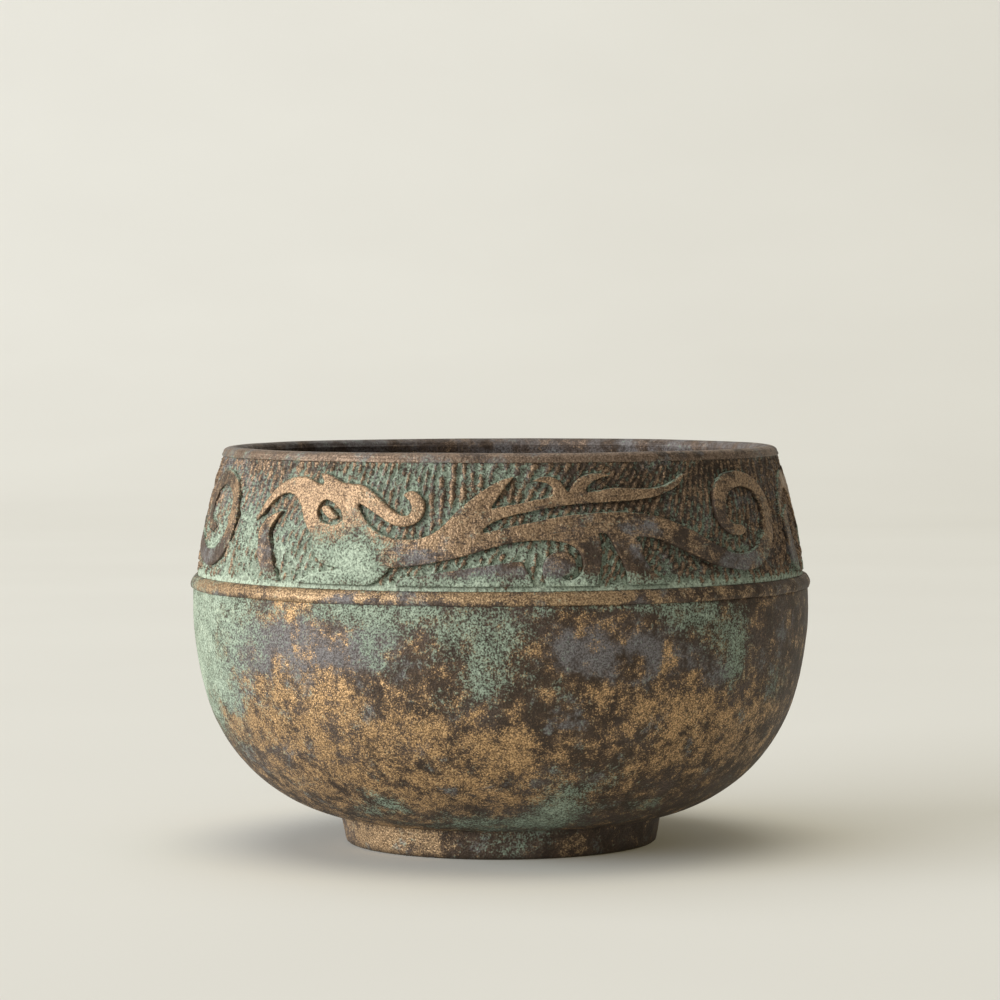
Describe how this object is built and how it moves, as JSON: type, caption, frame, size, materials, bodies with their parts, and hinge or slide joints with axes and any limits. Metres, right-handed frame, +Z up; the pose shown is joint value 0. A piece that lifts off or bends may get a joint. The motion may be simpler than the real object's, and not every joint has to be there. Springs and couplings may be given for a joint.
{
  "type": "footed bowl",
  "caption": "Low wide-mouthed bronze bowl on a foot ring, with a raised rib and a band of dragon relief between the rib and the rim.",
  "frame": {"origin": "middle of the foot ring's resting face, at the bowl's lowest point", "axes": "+Z up along the axis the bowl is turned about; the first dragon's middle faces -Y"},
  "size_m": [0.0926, 0.0926, 0.0595],
  "materials": {
    "belly_bronze": "dark bronze-brown with green patina and rubbed gold patches, mostly matte",
    "frieze_ground": "chiselled ground with green patina in the grooves, matte",
    "rim_bronze": "dark bronze-brown with fine turning lines, matte",
    "rib_bronze": "rubbed bronze, low sheen",
    "foot_bronze": "rubbed bronze-brown with some green patina, matte",
    "relief_bronze": "rubbed bronze on the raised faces, low sheen"
  },
  "bodies": {
    "root": {"bowl": "belly_bronze", "frieze_wall": "frieze_ground", "rim_band": "rim_bronze", "rib_band": "rib_bronze", "foot_ring": "foot_bronze", "dragon_1_body": "relief_bronze", "dragon_1_claw": "relief_bronze", "dragon_1_eye": "relief_bronze", "dragon_1_foreleg": "relief_bronze", "dragon_2_body": "relief_bronze", "dragon_2_claw": "relief_bronze", "dragon_2_eye": "relief_bronze", "dragon_2_foreleg": "relief_bronze", "dragon_3_body": "relief_bronze", "dragon_3_claw": "relief_bronze", "dragon_3_eye": "relief_bronze", "dragon_3_foreleg": "relief_bronze"}
  },
  "joints": []
}
